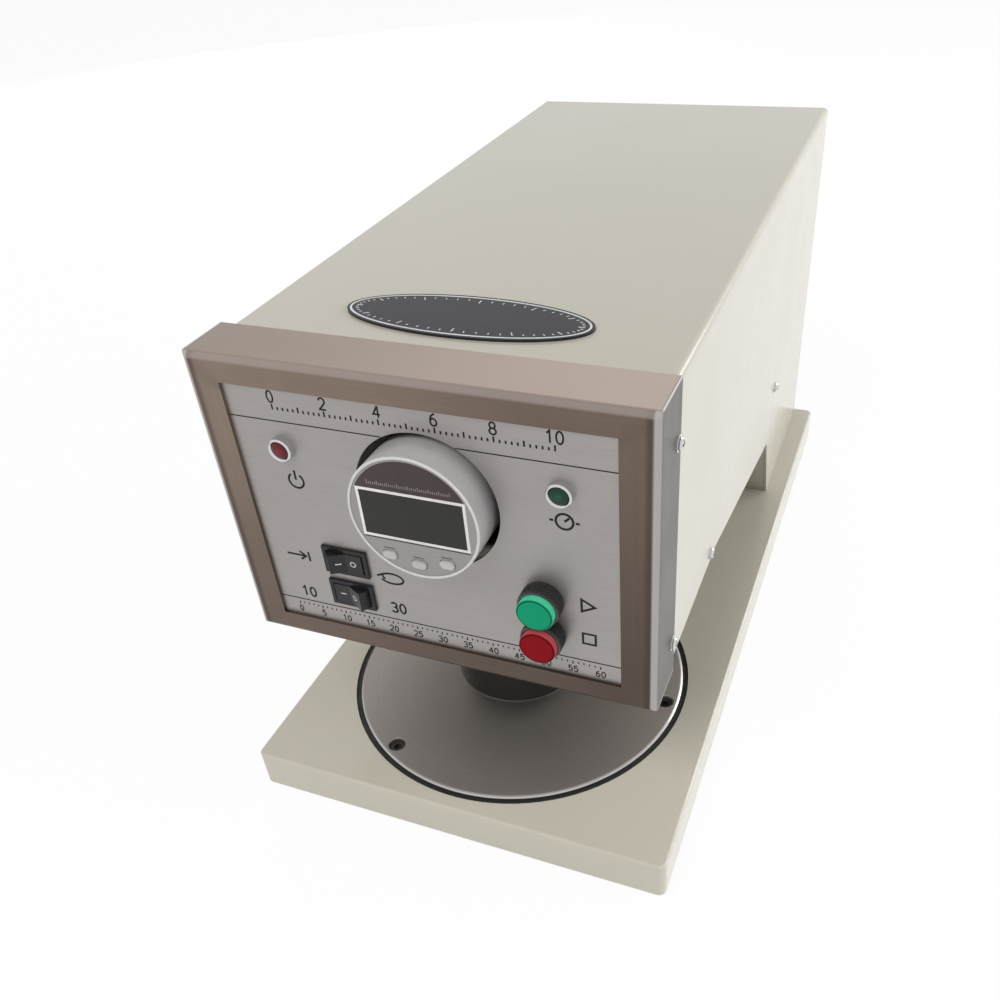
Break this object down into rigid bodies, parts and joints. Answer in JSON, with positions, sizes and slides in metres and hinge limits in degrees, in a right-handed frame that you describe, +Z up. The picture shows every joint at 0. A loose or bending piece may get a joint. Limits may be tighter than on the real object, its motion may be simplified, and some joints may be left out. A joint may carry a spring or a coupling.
{
  "type": "fabric thickness tester",
  "caption": "Bench fabric thickness tester: round platen on a slab base, long cream sheet-metal head with a motor-lifted presser foot, digital gauge and switch panel.",
  "frame": {"origin": "centre of the footprint, on the surface the rubber feet stand on", "axes": "+X to the right as seen from the front, +Y from the control panel to the back, +Z up"},
  "size_m": [0.223, 0.438, 0.252],
  "materials": {
    "cream_paint": "gloss cream enamel",
    "black_rubber": "matt",
    "ground_steel": "fine ground",
    "bezel_steel": "brushed satin",
    "panel_aluminium": "satin with black print",
    "bright_steel": "bright plated",
    "black_oxide_steel": "black oxide",
    "plain_steel": "turned",
    "grey_casting": "painted casting",
    "bronze": "turned",
    "badge_foil": "dark printed plate",
    "silver_plastic": "satin silver",
    "brown_window": "clear gloss over dark brown",
    "display_glass": "dark display behind clear plastic",
    "red_plastic": "translucent gloss",
    "green_plastic": "translucent gloss",
    "black_plastic": "moulded satin",
    "circuit_green": "lacquered board",
    "transformer_iron": "lacquered"
  },
  "bodies": {
    "frame": {"base_plate": "cream_paint", "rubber_feet": "black_rubber", "foot_screws": "bright_steel", "platen": "ground_steel", "platen_seal": "black_rubber", "platen_screws": "black_oxide_steel", "column": "grey_casting", "column_bolts": "black_oxide_steel", "overarm": "grey_casting", "overarm_bolts": "black_oxide_steel", "head_cover": "cream_paint", "throat_plate": "cream_paint", "rear_panel": "cream_paint", "rear_rails": "plain_steel", "rear_screws": "bright_steel", "bezel_frame": "bezel_steel", "bezel_screws": "bright_steel", "cover_screws": "bright_steel", "side_washers": "bright_steel", "panel_plate": "panel_aluminium", "panel_clips": "plain_steel", "badge_plate": "badge_foil", "lamp_collars": "bright_steel", "red_lamp": "red_plastic", "green_lamp": "green_plastic", "gauge_case": "silver_plastic", "gauge_face": "silver_plastic", "gauge_window": "brown_window", "gauge_display": "display_glass", "gauge_stem": "bright_steel", "gauge_clamp": "plain_steel", "rocker_frames": "black_plastic", "button_collars": "black_plastic", "guide_bush": "bronze", "cam_motor": "plain_steel", "motor_bracket": "plain_steel", "circuit_board": "circuit_green", "transformer": "transformer_iron", "mains_inlet": "black_plastic", "fuse_holder": "black_plastic", "power_switch_frame": "black_plastic"},
    "presser": {"presser_foot": "ground_steel", "spindle": "bright_steel", "gauge_arm": "plain_steel", "loading_weight": "plain_steel", "lift_yoke": "plain_steel", "follower_pin": "bright_steel", "spindle_nut": "bright_steel"},
    "plunger": {"gauge_plunger": "bright_steel"},
    "cam": {"lift_cam": "plain_steel", "cam_shaft": "bright_steel"},
    "key_left": {"gauge_key_left": "silver_plastic"},
    "key_middle": {"gauge_key_middle": "silver_plastic"},
    "key_right": {"gauge_key_right": "silver_plastic"},
    "upper_switch": {"upper_rocker": "black_plastic"},
    "lower_switch": {"lower_rocker": "black_plastic"},
    "mains_switch": {"power_rocker": "black_plastic"},
    "start": {"start_button": "green_plastic"},
    "stop": {"stop_button": "red_plastic"}
  },
  "joints": [
    {"name": "presser_lift", "type": "slide", "parent": "frame", "child": "presser", "axis": [0, 0, 1], "range_m": [-0.0059, 0.006]},
    {"name": "cam_turn", "type": "hinge", "parent": "frame", "child": "cam", "pos_m": [0, -0.0695, 0.1917], "axis": [1, 0, 0], "range_deg": [-118.2, 120.2]},
    {"name": "gauge_plunger_slide", "type": "slide", "parent": "frame", "child": "plunger", "axis": [0, 0, 1], "range_m": [-0.006, 0.0061]},
    {"name": "gauge_key_left_press", "type": "slide", "parent": "frame", "child": "key_left", "axis": [0, 1, 0], "range_m": [0, 0.0008], "stiffness_N_per_m": 400, "springref_m": -0.0005},
    {"name": "gauge_key_middle_press", "type": "slide", "parent": "frame", "child": "key_middle", "axis": [0, 1, 0], "range_m": [0, 0.0008], "stiffness_N_per_m": 400, "springref_m": -0.0005},
    {"name": "gauge_key_right_press", "type": "slide", "parent": "frame", "child": "key_right", "axis": [0, 1, 0], "range_m": [0, 0.0008], "stiffness_N_per_m": 400, "springref_m": -0.0005},
    {"name": "upper_rocker_tilt", "type": "hinge", "parent": "frame", "child": "upper_switch", "pos_m": [-0.043, -0.1945, 0.1562], "axis": [0, 0, 1], "range_deg": [-28, 0]},
    {"name": "lower_rocker_tilt", "type": "hinge", "parent": "frame", "child": "lower_switch", "pos_m": [-0.043, -0.1945, 0.1375], "axis": [0, 0, 1], "range_deg": [0, 28]},
    {"name": "power_rocker_tilt", "type": "hinge", "parent": "frame", "child": "mains_switch", "pos_m": [-0.044, 0.2045, 0.072], "axis": [0, 0, 1], "range_deg": [0, 28]},
    {"name": "start_press", "type": "slide", "parent": "frame", "child": "start", "axis": [0, 1, 0], "range_m": [0, 0.003], "stiffness_N_per_m": 300, "springref_m": -0.001},
    {"name": "stop_press", "type": "slide", "parent": "frame", "child": "stop", "axis": [0, 1, 0], "range_m": [0, 0.003], "stiffness_N_per_m": 300, "springref_m": -0.001}
  ],
  "couplings": [
    {"joint": "cam_turn", "follows": "presser_lift", "rad_per_m": 349.07},
    {"joint": "gauge_plunger_slide", "follows": "presser_lift", "ratio": 1}
  ]
}
